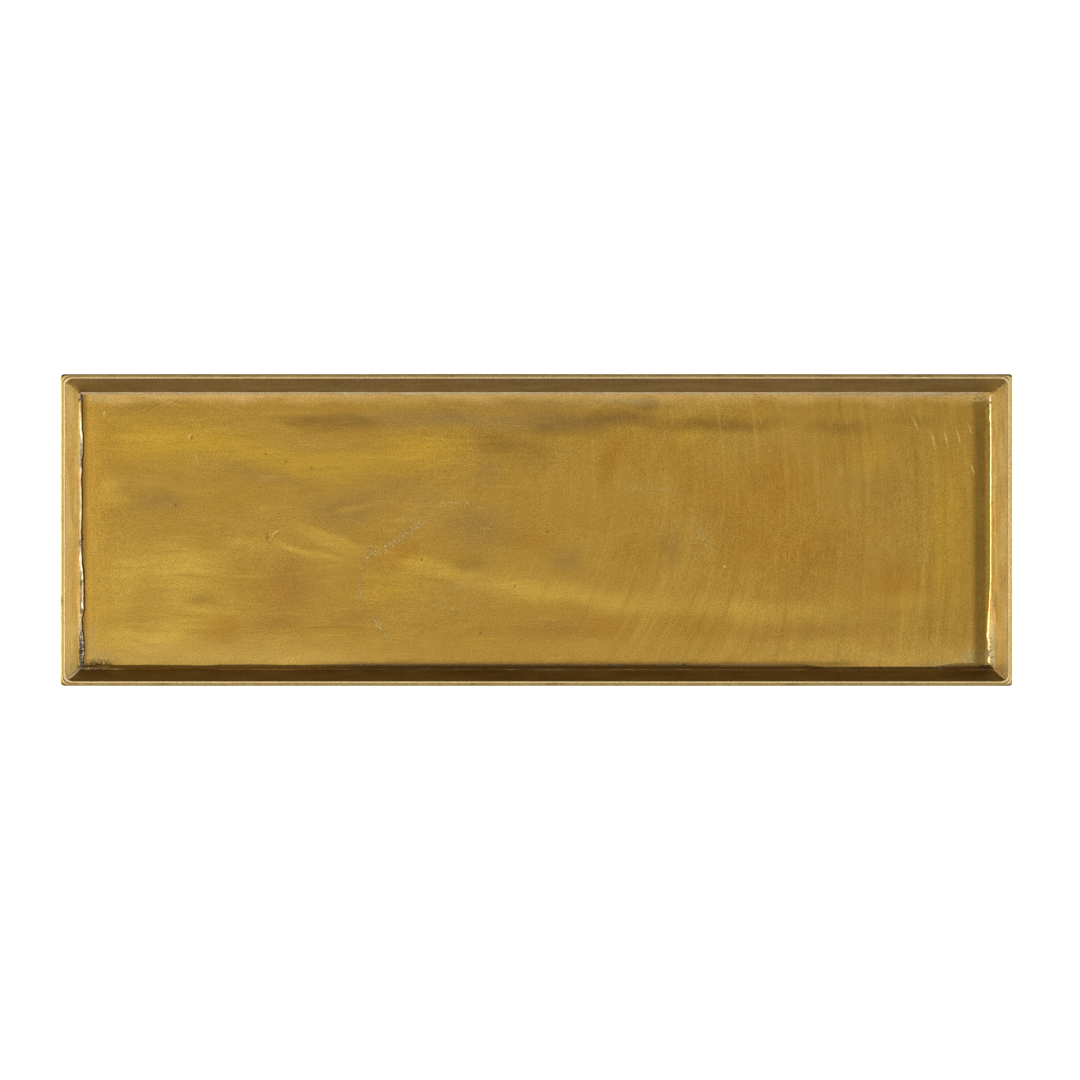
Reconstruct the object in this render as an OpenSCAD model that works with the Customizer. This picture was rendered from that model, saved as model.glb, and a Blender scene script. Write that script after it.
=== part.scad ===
// A long shallow tray of soldered brass sheet: a floor sheet, four leaning walls with mitred
// corners, a strip round the top edge, and the runs of solder that join them.
// The origin is at the middle of the underside. +X runs along the tray and +Z is up.

/* [Tray] */
// Length over the rim
tray_l = 610; // [450:5:800]
// Width over the rim
tray_w = 200; // [150:5:400]
// Height from the underside to the top of the rim
tray_h = 25; // [18:0.5:40]

/* [Sheet] */
// Thickness of the floor sheet
floor_t = 1.2; // [0.8:0.1:2]
// Level thickness of the wall sheet
wall_t = 1.25; // [0.8:0.05:2]
// How far each wall leans out between the floor and the rim
flare = 8.4; // [4:0.2:12]

/* [Rim] */
// Level thickness of the strip outside the wall's top edge
rim_t = 1.9; // [1.6:0.1:3]
// Height of that strip
rim_h = 4; // [2:0.5:8]
// Radius of the rim's outer corners, seen from above
rim_corner_r = 2; // [0.5:0.1:2.5]

/* [Solder] */
// Width of the solder on the floor, along the foot of each wall
floor_seam_w = 2.4; // [1.4:0.1:4]
// Height that this solder climbs up the wall
floor_seam_h = 1.8; // [1.2:0.1:3]
// Depth of the bevel on the floor sheet's edge, which the solder fills
bevel_d = 0.6; // [0.2:0.1:0.7]
// Width and height of the solder under the rim strip
rim_seam_leg = 1.4; // [0.6:0.1:1.6]
// Radius of the solder in an inside corner, at the rim
corner_r_top = 5.5; // [3:0.5:8]
// Radius of the solder in an inside corner, at its foot
corner_r_foot = 1.2; // [0.6:0.1:1.4]

/* [Hidden] */
SIDES = ["front", "back", "left", "right"];
CORNERS = ["front_left", "front_right", "back_left", "back_right"];

floor_color = [0.67, 0.52, 0.22];
wall_color = [0.74, 0.58, 0.30];
rim_color = [0.78, 0.62, 0.34];
solder_color = [0.86, 0.76, 0.52];

// Level run of a wall for each millimetre of height
lean = flare / (tray_h - floor_t);
// Height of the rim strip's lower edge
strip_foot = tray_h - rim_h;
// Height at which the floor solder ends on the wall
seam_top = floor_t + floor_seam_h;
// How far the mitre wedge reaches in and out from the rim's outer edge
mitre_in = wall_t + rim_t + lean * tray_h + floor_seam_w + 5;
mitre_out = 5;
// Rings in the height of a corner's solder, segments in its curve, and how late it widens
corner_rings = 10;
corner_segments = 6;
corner_widening = 3;
// Facets of a full circle at the rim's outer corners
corner_fn = 48;

// Sections are lists of [out, up] points. "out" is measured level from the rim's outermost
// edge and is negative towards the middle, so one section serves all four sides.
function inner(up) = -(wall_t + rim_t) - lean * (tray_h - up);
function outer(up) = inner(up) + wall_t;
function strip(up) = outer(up) + rim_t;

wall_section = [[inner(0), 0], [outer(0), 0], [outer(tray_h), tray_h], [inner(tray_h), tray_h]];
rim_section = [
    [outer(strip_foot), strip_foot],
    [strip(strip_foot), strip_foot],
    [strip(tray_h), tray_h],
    [outer(tray_h), tray_h]
];
floor_seam_section = [
    [inner(floor_t - bevel_d), floor_t - bevel_d],
    [inner(seam_top), seam_top],
    [inner(floor_t) - floor_seam_w, floor_t]
];
rim_seam_section = [
    [outer(strip_foot), strip_foot],
    [outer(strip_foot - rim_seam_leg), strip_foot - rim_seam_leg],
    [outer(strip_foot) + rim_seam_leg, strip_foot]
];

// A bar along the +Y side of a rectangle, with both ends mitred at 45 degrees
module mitred_bar(section, length, across) {
    intersection() {
        translate([-length / 2, across / 2, 0])
            rotate([90, 0, 90])
                linear_extrude(length)
                    polygon(section);
        linear_extrude(tray_h)
            polygon([
                [-length / 2 + mitre_in, across / 2 - mitre_in],
                [length / 2 - mitre_in, across / 2 - mitre_in],
                [length / 2 + mitre_out, across / 2 + mitre_out],
                [-length / 2 - mitre_out, across / 2 + mitre_out]
            ]);
    }
}

// The same bar on any side of the tray
module side_bar(side, section) {
    if (side == "back") mitred_bar(section, tray_l, tray_w);
    if (side == "front") rotate(180) mitred_bar(section, tray_l, tray_w);
    if (side == "left") rotate(90) mitred_bar(section, tray_w, tray_l);
    if (side == "right") rotate(-90) mitred_bar(section, tray_w, tray_l);
}

// Whatever is made for the back right corner, mirrored to the named corner
module at_corner(corner) {
    is_left = corner == "front_left" || corner == "back_left";
    is_front = corner == "front_left" || corner == "front_right";
    flip_x = is_left ? 1 : 0;
    flip_y = is_front ? 1 : 0;
    mirror([flip_x, 0, 0])
        mirror([0, flip_y, 0])
            children();
}

// What is cut away to round the rim's outer corner
module corner_cutter() {
    linear_extrude(tray_h + 1)
        difference() {
            translate([tray_l / 2 - rim_corner_r, tray_w / 2 - rim_corner_r])
                square(rim_corner_r + 1);
            translate([tray_l / 2 - rim_corner_r, tray_w / 2 - rim_corner_r])
                circle(rim_corner_r, $fn = corner_fn);
        }
}

// The floor sheet's section across a side, for half the tray's length or width
module floor_outline(half) {
    edge = half + inner(0);
    shoulder = half + inner(floor_t - bevel_d);
    top = half + inner(floor_t) - floor_seam_w;
    polygon([
        [-edge, 0],
        [edge, 0],
        [shoulder, floor_t - bevel_d],
        [top, floor_t],
        [-top, floor_t],
        [-shoulder, floor_t - bevel_d]
    ]);
}

module floor_plate() {
    color(floor_color)
        intersection() {
            translate([0, tray_w / 2, 0])
                rotate([90, 0, 0])
                    linear_extrude(tray_w)
                        floor_outline(tray_l / 2);
            translate([-tray_l / 2, 0, 0])
                rotate([90, 0, 90])
                    linear_extrude(tray_l)
                        floor_outline(tray_w / 2);
        }
}

module wall(side) {
    color(wall_color)
        side_bar(side, wall_section);
}

module rim(side) {
    color(rim_color)
        difference() {
            side_bar(side, rim_section);
            for (corner = CORNERS) at_corner(corner) corner_cutter();
        }
}

module floor_seam(side) {
    color(solder_color)
        side_bar(side, floor_seam_section);
}

module rim_seam(side) {
    color(solder_color)
        side_bar(side, rim_seam_section);
}

// Height of the floor solder's surface, the given distance out
function seam_surface(out) =
    let (start = inner(floor_t) - floor_seam_w)
    floor_t + floor_seam_h * (out - start) / (inner(seam_top) - start);

// Radius of the corner solder at a height
function corner_radius(up) =
    let (share = (up - seam_top) / (tray_h - seam_top))
    corner_r_foot + (corner_r_top - corner_r_foot) * pow(share, corner_widening);

// One ring of the corner solder: the corner itself, then the arc from wall to wall
function corner_ring(up) =
    let (x = tray_l / 2 + inner(up), y = tray_w / 2 + inner(up), r = corner_radius(up))
    concat(
        [[x, y, up]],
        [for (i = [0 : corner_segments])
            let (a = 90 * i / corner_segments)
            [x - r + r * cos(a), y - r + r * sin(a), up]]
    );

// The lowest ring, laid on the two floor solders that meet under it
function foot_ring() = [
    for (p = corner_ring(seam_top))
        [p.x, p.y, seam_surface(max(p.x - tray_l / 2, p.y - tray_w / 2))]
];

// Solder up the inside corner, from the floor solder to a flat top level with the rim. Its ends
// are fans of triangles from the corner point, which sees the whole of the hollow arc.
module corner_seam(corner) {
    count = corner_segments + 2;
    last = corner_rings * count;
    heights = [for (i = [1 : corner_rings]) seam_top + (tray_h - seam_top) * i / corner_rings];
    points = concat(foot_ring(), [for (up = heights) each corner_ring(up)]);
    foot = [for (i = [1 : count - 2]) [0, i, i + 1]];
    sides = [
        for (ring = [0 : corner_rings - 1])
            for (i = [0 : count - 1])
                let (a = ring * count + i, b = ring * count + (i + 1) % count)
                [a, a + count, b + count, b]
    ];
    top = [for (i = [1 : count - 2]) [last, last + i + 1, last + i]];
    color(solder_color)
        at_corner(corner)
            polyhedron(points, concat(foot, sides, top));
}

floor_plate();
for (side = SIDES) {
    wall(side);
    rim(side);
    floor_seam(side);
    rim_seam(side);
}
for (corner = CORNERS) {
    corner_seam(corner);
}
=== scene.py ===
import math

import bmesh
import bpy
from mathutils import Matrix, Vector, noise


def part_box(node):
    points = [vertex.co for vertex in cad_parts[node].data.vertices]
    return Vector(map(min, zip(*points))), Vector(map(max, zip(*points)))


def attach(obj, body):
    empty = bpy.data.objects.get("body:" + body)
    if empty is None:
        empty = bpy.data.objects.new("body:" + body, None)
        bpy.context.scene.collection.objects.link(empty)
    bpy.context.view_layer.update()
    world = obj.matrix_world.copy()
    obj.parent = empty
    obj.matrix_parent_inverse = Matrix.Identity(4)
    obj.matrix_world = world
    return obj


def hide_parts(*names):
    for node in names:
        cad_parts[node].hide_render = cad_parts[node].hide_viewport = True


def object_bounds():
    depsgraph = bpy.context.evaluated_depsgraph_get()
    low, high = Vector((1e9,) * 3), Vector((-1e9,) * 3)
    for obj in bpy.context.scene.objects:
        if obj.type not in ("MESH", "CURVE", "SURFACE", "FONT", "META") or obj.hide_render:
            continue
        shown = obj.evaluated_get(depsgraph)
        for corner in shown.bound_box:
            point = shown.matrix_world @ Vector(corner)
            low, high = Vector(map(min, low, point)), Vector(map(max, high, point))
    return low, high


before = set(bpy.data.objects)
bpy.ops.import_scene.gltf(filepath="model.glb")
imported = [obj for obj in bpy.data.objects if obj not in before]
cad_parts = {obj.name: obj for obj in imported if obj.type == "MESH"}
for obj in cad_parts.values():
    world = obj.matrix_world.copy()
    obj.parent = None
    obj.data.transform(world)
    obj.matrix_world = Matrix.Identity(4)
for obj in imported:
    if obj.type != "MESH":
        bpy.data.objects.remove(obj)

CAD_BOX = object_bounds()
MM = 0.001
SCENE = bpy.context.scene
SIDES = ("front", "back", "left", "right")
CORNERS = ("front_left", "front_right", "back_left", "back_right")

# ---- sizes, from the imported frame
# Sections are drawn as (out, up): "out" is measured level from the rim's outermost edge and is
# negative towards the middle, so one section serves all four sides.
HALF_X, HALF_Y, TOP = CAD_BOX[1]
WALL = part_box("wall_right")
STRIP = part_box("rim_right")
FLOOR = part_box("floor_plate")
FLOOR_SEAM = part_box("floor_seam_right")
RIM_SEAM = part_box("rim_seam_right")
STRIP_FOOT = STRIP[0].z
FLOOR_TOP = FLOOR[1].z
LEAN = (WALL[1].x - STRIP[0].x) / (TOP - STRIP_FOOT)
STRIP_T = HALF_X - WALL[1].x


def inner(up):
    """Level place of the wall's inside face at a height."""
    return WALL[0].x - HALF_X + LEAN * up


def outer(up):
    """Level place of the wall's outside face at a height."""
    return WALL[1].x - HALF_X - LEAN * (TOP - up)


BEND_FOOT = 1.2 * MM
BEND_TOP = 5.6 * MM
BEND_RIM = 3 * MM
BEND_SHRINK = 0.16


def wall_bend(out, up):
    """The walls are bent round the corners: sharply at the foot and widely at the rim."""
    inside = BEND_FOOT + (BEND_TOP - BEND_FOOT) * (up / TOP) ** 3
    return inside * (1 - BEND_SHRINK * (out - inner(up)) / (outer(up) - inner(up)))


def strip_bend(out, up):
    """The strips follow the wall inside and are bent to a sharper corner outside."""
    share = (out - outer(up)) / STRIP_T
    return wall_bend(outer(up), up) * (1 - share) + BEND_RIM * share


SEAM_FOOT = FLOOR_SEAM[0].z
RIM_SEAM_LEG = STRIP_FOOT - RIM_SEAM[0].z
FLOOR_HALF_X = HALF_X + inner(FLOOR_TOP)
FLOOR_HALF_Y = HALF_Y + inner(FLOOR_TOP)

# ---- camera
CAMERA_HEIGHT = 5
FRAME_WIDTH = 0.6909
SENSOR = 36
AIM = (0.0021, -0.0064)


def make_camera():
    data = bpy.data.cameras.new("camera")
    data.sensor_width = SENSOR
    data.lens = SENSOR * CAMERA_HEIGHT / FRAME_WIDTH
    camera = bpy.data.objects.new("camera", data)
    camera.location = (*AIM, TOP + CAMERA_HEIGHT)
    SCENE.collection.objects.link(camera)
    SCENE.camera = camera


make_camera()


# ---- mesh helpers
# Keeps the noise off its zero points, and the seeds' patterns apart.
WAVE_START = (0.37, 0.61)
SEED_STEP = 17.3


def wave(seed, waves, x, y=0):
    """Smooth noise around 0. Waves holds its greatest height and its humps' size along x and y."""
    height, size_x, size_y = (*waves, 1)[:3]
    place = (x / size_x + WAVE_START[0], y / size_y + WAVE_START[1], SEED_STEP * seed)
    return height * noise.noise(Vector(place))


def sunk(seed, waves, x, y=0):
    """The same noise, from about 0 to twice its height."""
    return waves[0] + wave(seed, waves, x, y)


def ease(value, start, end):
    """0 before start, 1 after end, and smooth between them."""
    t = min(1, max(0, (value - start) / (end - start)))
    return t * t * (3 - 2 * t)


def between(value, low, high, soft):
    """1 from low to high, fading to 0 over the soft distance on both sides."""
    return ease(value, low - soft, low) * (1 - ease(value, high, high + soft))


def half_length(side):
    return HALF_X if side in ("front", "back") else HALF_Y


def to_world(side, along, out, up):
    """A point of a side's section, with along measured on the row's own +X or +Y."""
    if side == "back":
        return Vector((along, HALF_Y + out, up))
    if side == "front":
        return Vector((along, -HALF_Y - out, up))
    if side == "right":
        return Vector((HALF_X + out, along, up))
    return Vector((-HALF_X - out, along, up))


def round_corner(point, out, bend):
    """Rounds the plan of a bar's line, which runs at "out", with a bend radius at the corner."""
    reach = bend - out
    u = reach - (HALF_X - abs(point.x))
    v = reach - (HALF_Y - abs(point.y))
    if u <= 0 or v <= 0:
        return point
    radius = max(u, v)
    turn = 0.25 * math.pi * min(u, v) / radius
    near, far = radius * math.sin(turn), radius * math.cos(turn)
    u, v = (far, near) if u >= v else (near, far)
    return Vector((
        math.copysign(HALF_X - reach + u, point.x),
        math.copysign(HALF_Y - reach + v, point.y),
        point.z,
    ))


SHARP_ANGLE = math.radians(40)


def finish_piece(node, vertices, faces, slot):
    """Makes a closed, smooth-shaded piece that rides on the tray and stands for a CAD node."""
    mesh = bpy.data.meshes.new(node + "_metal")
    mesh.from_pydata([tuple(v) for v in vertices], [], faces)
    build = bmesh.new()
    build.from_mesh(mesh)
    bmesh.ops.recalc_face_normals(build, faces=build.faces)
    for face in build.faces:
        face.smooth = True
    build.to_mesh(mesh)
    build.free()
    mesh.set_sharp_from_angle(angle=SHARP_ANGLE)
    mesh.materials.append(FINISHES[slot])
    piece = bpy.data.objects.new(node + "_metal", mesh)
    SCENE.collection.objects.link(piece)
    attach(piece, "root")
    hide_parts(node)


def places(half, end_step, end_count, step):
    """Places from -half to half, close together near both ends."""
    ends = [half - end_step * i for i in range(end_count)]
    body = ends[-1]
    count = round(2 * body / step)
    middle = [-body + 2 * body * i / count for i in range(1, count)]
    return [-e for e in ends] + middle + ends[::-1]


def skin(rings):
    """The faces that join each ring of vertex numbers to the next."""
    pairs = zip(rings, rings[1:])
    return [(a[i], a[i - 1], b[i - 1], b[i]) for a, b in pairs for i in range(len(a))]


END_STEP = 0.5 * MM
END_COUNT = 14


def bar(node, side, section, step, slot, bend=None):
    """A bar along one side. Its ends are mitred, or bent round by bend(out, up)."""
    half = half_length(side)
    vertices, rings = [], []
    for place in places(half, END_STEP, END_COUNT, step):
        share = place / half
        ring = []
        for out, up in section(share * half):
            point = to_world(side, share * (half + out), out, up)
            if bend:
                point = round_corner(point, out, bend(out, up))
            ring.append(len(vertices))
            vertices.append(point)
        rings.append(ring)
    finish_piece(node, vertices, skin(rings) + [rings[0], rings[-1]], slot)


def arc(centre, radius, start, end, count):
    """Points on an arc of a section, angles in degrees."""
    angles = [math.radians(start + (end - start) * i / count) for i in range(count + 1)]
    return [(centre[0] + radius * math.cos(a), centre[1] + radius * math.sin(a)) for a in angles]


# ---- material helpers
FLOOR_LIGHT = 0.66


def linear(level):
    """An sRGB level from 0 to 255 as linear light."""
    share = level / 255
    return share / 12.92 if share <= 0.04045 else ((share + 0.055) / 1.055) ** 2.4


def seen(red, green, blue, light=FLOOR_LIGHT):
    """The metal's own colour, where it shows as this sRGB colour under the given light."""
    return (*[min(0.98, linear(c) / light) for c in (red, green, blue)], 1)


class Finish:
    """One node material. Most methods add nodes and hand back an output socket."""

    def __init__(self, slot):
        self.material = bpy.data.materials.new(slot + "_finish")
        self.material.use_nodes = True
        self.tree = self.material.node_tree
        self.shader = self.tree.nodes["Principled BSDF"]
        self.shader.inputs["Metallic"].default_value = 1
        place = self.node("TexCoord").outputs["Object"]
        self.place = self.scaled(place, (1000, 1000, 1000))
        split = self.node("SeparateXYZ", {0: self.place})
        self.x, self.y, self.z = split.outputs

    def node(self, kind, inputs=None, **settings):
        made = self.tree.nodes.new("ShaderNode" + kind)
        for key, value in settings.items():
            setattr(made, key, value)
        for slot, value in (inputs or {}).items():
            if isinstance(value, bpy.types.NodeSocket):
                self.tree.links.new(value, made.inputs[slot])
            else:
                made.inputs[slot].default_value = value
        return made

    def math(self, operation, *values, clamp=False):
        inputs = dict(enumerate(values))
        return self.node("Math", inputs, operation=operation, use_clamp=clamp).outputs[0]

    def times(self, first, *others):
        """The product of node values or numbers."""
        for other in others:
            first = self.math("MULTIPLY", first, other)
        return first

    def plus(self, first, *others):
        for other in others:
            first = self.math("ADD", first, other)
        return first

    def minus(self, first, second):
        return self.math("SUBTRACT", first, second)

    def total(self, values):
        """The sum of many masks, at most 1."""
        result = values[0]
        for value in values[1:]:
            result = self.math("ADD", result, value, clamp=True)
        return result

    def scaled(self, vector, factors):
        inputs = {0: vector, 1: factors}
        return self.node("VectorMath", inputs, operation="MULTIPLY").outputs[0]

    def joined(self, x, y, z):
        return self.node("CombineXYZ", {0: x, 1: y, 2: z}).outputs[0]

    def remap(self, value, low, high, to_low=0, to_high=1):
        """Smoothly carries low..high to to_low..to_high, and holds the ends."""
        inputs = {0: value, 1: low, 2: high, 3: to_low, 4: to_high}
        if low > high:
            inputs = {0: value, 1: high, 2: low, 3: to_high, 4: to_low}
        return self.node("MapRange", inputs, interpolation_type="SMOOTHSTEP").outputs[0]

    def mix(self, amount, first, second, blend="MIX"):
        inputs = {0: amount, 6: first, 7: second}
        return self.node("Mix", inputs, data_type="RGBA", blend_type=blend).outputs[2]

    def laid(self, color, tone, mask, share=1):
        """A colour with a tone laid over it where the mask is 1, covering it by a share."""
        amount = mask if share == 1 else self.times(mask, share)
        return self.mix(amount, color, tone)

    def lay(self, *tone_mask_share):
        """Lays a tone over the finish's own colour."""
        self.color = self.laid(self.color, *tone_mask_share)

    def noise(self, place, size, detail=2, rough=0.5):
        """Noise from 0 to 1 whose blots are about size mm across, along x, y and perhaps z."""
        vector = self.scaled(place, [1 / s for s in (*size, 1)[:3]])
        inputs = {"Vector": vector, "Scale": 1, "Detail": detail, "Roughness": rough}
        return self.node("TexNoise", inputs).outputs[0]

    def dots(self, place, pitch, radius):
        """Separate round specks on a loose grid: 1 in a speck's middle, 0 outside radius mm."""
        inputs = {"Vector": place, "Scale": 1 / pitch}
        distance = self.node("TexVoronoi", inputs).outputs["Distance"]
        return self.remap(distance, radius / pitch, 0.3 * radius / pitch)

    def warped(self, place, size, amount):
        """A flat place, moved about by noise up to amount mm."""
        vector = self.scaled(place, (1 / size, 1 / size, 1 / size))
        inputs = {"Vector": vector, "Scale": 1, "Detail": 3}
        shift = self.node("TexNoise", inputs).outputs["Color"]
        middle = (0.5, 0.5, 0.5)
        centred = self.node("VectorMath", {0: shift, 1: middle}, operation="SUBTRACT")
        moved = self.scaled(centred.outputs[0], (2 * amount, 2 * amount, 0))
        return self.node("VectorMath", {0: place, 1: moved}, operation="ADD").outputs[0]

    def spot(self, place, x, y, half_x, half_y, strength=1, turn=0):
        """A soft ellipse: strength in its middle, 0 at its edge."""
        inputs = {0: place, 1: (x, y, 0), 2: (0, 0, math.radians(turn)), 3: (half_x, half_y, 1)}
        local = self.node("Mapping", inputs, vector_type="TEXTURE").outputs[0]
        cone = self.node("TexGradient", {0: local}, gradient_type="SPHERICAL").outputs[1]
        return self.remap(cone, 0, 0.95, 0, strength)

    def spots(self, place, rows):
        return self.total([self.spot(place, *row) for row in rows])

    def off_joint(self):
        """Distance in mm from the joint between the walls and the rim strips, below 0 inside."""
        radius = wall_bend(outer(TOP), TOP) / MM
        centre_x = (HALF_X + outer(TOP)) / MM - radius
        centre_y = (HALF_Y + outer(TOP)) / MM - radius
        u = self.math("MAXIMUM", self.minus(self.math("ABSOLUTE", self.x), centre_x), 0)
        v = self.math("MAXIMUM", self.minus(self.math("ABSOLUTE", self.y), centre_y), 0)
        square = self.plus(self.times(u, u), self.times(v, v))
        return self.minus(self.math("SQRT", square), radius)

    def beyond_rim(self):
        """Distances in mm past the rim's outermost edge along x and y, below 0 inside it."""
        beyond_x = self.minus(self.math("ABSOLUTE", self.x), HALF_X / MM)
        beyond_y = self.minus(self.math("ABSOLUTE", self.y), HALF_Y / MM)
        return beyond_x, beyond_y

    def on_long_sides(self):
        """1 beyond the mitres on the front and back sides, 0 on the left and right sides."""
        beyond_x, beyond_y = self.beyond_rim()
        return self.remap(self.minus(beyond_y, beyond_x), -0.6, 0.6)

    def outside(self):
        """1 on the walls' outer faces and 0 on their inner ones."""
        out = self.math("MAXIMUM", *self.beyond_rim())
        rise = self.times(self.z, LEAN)
        middle = 0.5 * (inner(0) + outer(0)) / MM
        return self.remap(self.minus(out, rise), middle - 0.2, middle + 0.2)

    def ridges(self, place, size, width):
        """Thin crinkled lines about size mm apart."""
        level = self.noise(place, size, 2)
        return self.remap(self.math("ABSOLUTE", self.minus(level, 0.5)), width, 0.3 * width)

    def joint_shade(self):
        """Painted shade in the groove along that joint."""
        near = self.remap(self.math("ABSOLUTE", self.off_joint()), 0.5, 0.2)
        return self.times(near, self.remap(self.z, TOP / MM - 0.9, TOP / MM - 0.4))

    def shade(self, *shades):
        """Multiplies the finish's colour by each shade, a value around 1."""
        for shade in shades:
            self.color = self.mix(1, self.color, self.joined(shade, shade, shade), "MULTIPLY")

    def grain_over(self, size, strength):
        """Adds a fine even grain, paler where it is light and deeper where it is dark."""
        level = self.remap(self.noise(self.place, (size, size, size), 1), 0.25, 0.75)
        shares = [strength * share for share in (1, 1.2, 2)]
        dark = (*[1 - share for share in shares], 1)
        light = (*[1 + share for share in shares], 1)
        self.color = self.mix(1, self.color, self.mix(level, dark, light), "MULTIPLY")

    def bump(self, height):
        """Tilts the surface by a height given in mm."""
        inputs = {"Height": height, "Distance": MM, "Strength": 1}
        return self.node("Bump", inputs).outputs[0]

    def done(self, roughness, height):
        """Connects the colour, the roughness and the height in mm, and hands back the material."""
        ends = (("Base Color", self.color), ("Roughness", roughness), ("Normal", self.bump(height)))
        for slot, value in ends:
            self.tree.links.new(value, self.shader.inputs[slot])
        return self.material


# ---- floor brass
# Stains on the floor sheet: a tone, then its spots, in mm from the middle and degrees: x, y,
# half width, half depth, strength, turn.
YELLOW = (
    seen(187, 148, 52),
    (-242, 59, 52, 22, 0.85),
    (-188, 53, 52, 14, 0.75, -8),
    (-133, 43, 52, 13, 0.65),
    (-78, 50, 44, 17, 0.6),
    (98, 62, 18, 12, 0.5),
    (217, 40, 20, 30, 0.45),
    (263, 2, 17, 78, 0.55),
    (-72, -23, 36, 9, 0.5, -15),
    (-91, -37, 36, 17, 0.5),
)
PALE = (
    seen(192, 156, 68),
    (-233, -24, 48, 24, 0.9),
    (-252, -69, 52, 16, 1),
    (-188, -8, 26, 11, 0.4),
    (-268, -34, 22, 44, 0.6),
    (-135, -6, 40, 9, 0.5, -20),
    (-62, -26, 42, 8, 0.6, -12),
    (-222, -48, 46, 20, 0.6),
    (-273, 26, 14, 14, 0.6),
    (-4, -37, 56, 12, 0.7, -8),
    (50, -45, 52, 12, 0.6, -6),
    (140, -50, 86, 11, 0.5),
    (237, -47, 42, 9, 0.4),
)
OLIVE = (
    seen(132, 100, 44),
    (-120, 68, 44, 9, 0.75, -2),
    (-60, 72, 46, 12, 0.4),
    (-149, 72, 32, 6, 0.6),
    (15, 69, 54, 13, 0.8),
    (-27, 56, 24, 15, 0.5),
    (57, 72, 42, 9, 0.8),
    (118, 67, 62, 8, 0.8),
    (192, 67, 28, 9, 0.6),
    (243, 70, 22, 7, 0.4),
    (-4, 50, 32, 18, 0.4),
    (70, 81, 12, 5, 0.8),
    (-213, -45, 20, 7, 0.4),
    (284, 83, 14, 6, 0.8),
    (-43, -20, 18, 9, 0.4),
)
GREY = (
    seen(155, 121, 60),
    (-123, 14, 42, 20, 0.9),
    (-36, 1, 38, 22, 0.9),
    (-242, 19, 26, 11, 1),
    (-175, 35, 38, 8, 0.9, -14),
    (-88, 27, 42, 13, 0.4),
    (-30, 35, 13, 15, 0.7),
    (21, -20, 18, 14, 0.7),
    (86, -11, 11, 24, 0.6),
    (12, 82, 110, 6, 0.8),
    (220, 27, 32, 22, 0.5),
)
PURPLE = (
    seen(158, 117, 53),
    (-159, -37, 28, 26, 0.9),
    (-117, -57, 24, 10, 0.7),
    (12, -63, 64, 11, 0.7),
    (172, -65, 62, 8, 0.6),
    (-165, -58, 30, 8, 0.6),
)
SMUDGE = (
    seen(140, 126, 94),
    (-284, 85, 16, 7, 0.8),
    (283, -81, 17, 9, 0.9),
    (-283, -83, 16, 7, 0.8),
    (262, -86, 30, 4, 0.5),
    (62, 84, 34, 5, 0.4),
    (-288, -72, 6, 24, 0.6),
    (-40, 71, 130, 11, 0.22),
)
RED = (
    seen(162, 117, 43),
    (47, 45, 11, 27, 0.8, -12),
    (-4, -7, 30, 15, 0.6, -10),
    (66, -15, 28, 20, 0.5),
    (115, 21, 36, 28, 0.5),
    (156, 30, 34, 36, 0.7),
    (134, -5, 34, 30, 0.6),
    (179, -18, 46, 36, 0.7),
    (230, -34, 22, 26, 0.7),
    (44, -63, 26, 11, 0.5),
    (98, -61, 42, 11, 0.5),
    (-88, -15, 18, 12, 0.5),
    (-200, -63, 16, 14, 0.5),
    (-281, 50, 11, 36, 0.6),
)
TONES = (YELLOW, PALE, OLIVE, GREY, PURPLE, RED, SMUDGE)
# Trails of dried splashes.
TRAILS = (
    (-101, -63, 22, 4.5, 0.9, -55),
    (-113, -36, 26, 4, 0.75, 85),
    (-107, -14, 9, 7, 1, 40),
    (-88, -5, 36, 4.5, 0.95, 33),
    (-49, 17, 48, 4.5, 0.5, -6),
    (68, 26, 30, 4, 0.5),
    (105, 0, 22, 3.6, 0.9, -62),
    (-56, -45, 60, 36, 0.25),
    (-75, 8, 36, 16, 0.3, 25),
)
# Bright hooked scratches.
CRESCENTS = (
    (248.2, 69, 0.8, 7),
    (256.5, 58, 0.9, 8),
    (264.8, 59, 0.9, 7.5),
    (273.2, 60, 0.9, 7),
    (282, 65, 0.7, 5),
    (280.2, 39, 0.8, 5, 1, 20),
)
# Low ridges pushed up in the sheet.
RIDGES = (
    (-157, -11.5, 22, 3.6, 0.7, -22),
    (-136, -16, 24, 3.4, 0.6, -14),
    (-128, -5, 24, 3.2, 0.45, -22),
    (-118, 14, 26, 3.4, 0.35, 12),
)
# Small knocks with a bright rim.
KNOCKS = (
    (-168, -1.5, 4, 0.9, 1, 32),
    (-170, -4, 1.2, 1.2, 0.8),
    (-278, 75, 1.3, 2, 1, -20),
    (-223, 60.5, 1.2, 2.4, 1, -30),
    (-219, 47, 0.8, 3, 0.6, 8),
    (275, -83.5, 0.7, 1.3, 1, -10),
    (121, -23.5, 1.6, 1, 1, -25),
    (253, -77, 0.7, 0.7),
)
# Small pits, and one dark scratch.
PITS = (
    (-173, -4.5, 1.6, 2.2),
    (-221.6, 59.6, 1.1, 1.5),
    (-174, 49, 0.9, 0.9),
    (-161, 44, 0.9, 0.9),
    (-145, 40, 0.9, 0.9),
    (-232, 16, 0.9, 0.9),
    (-74, -19, 0.9, 0.9),
    (-36, -66, 0.9, 0.9),
    (-14, -36, 0.9, 0.9),
    (7, -1, 0.9, 0.9),
    (-136, -62.4, 34, 0.9, 0.2),
)
SCRIBBLE = (-244, 80.5, 24, 5, 1, 8)
RIND = (-282, -87, 17, 6)
CRINKLE = (283, 85.5, 15, 5)
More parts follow.
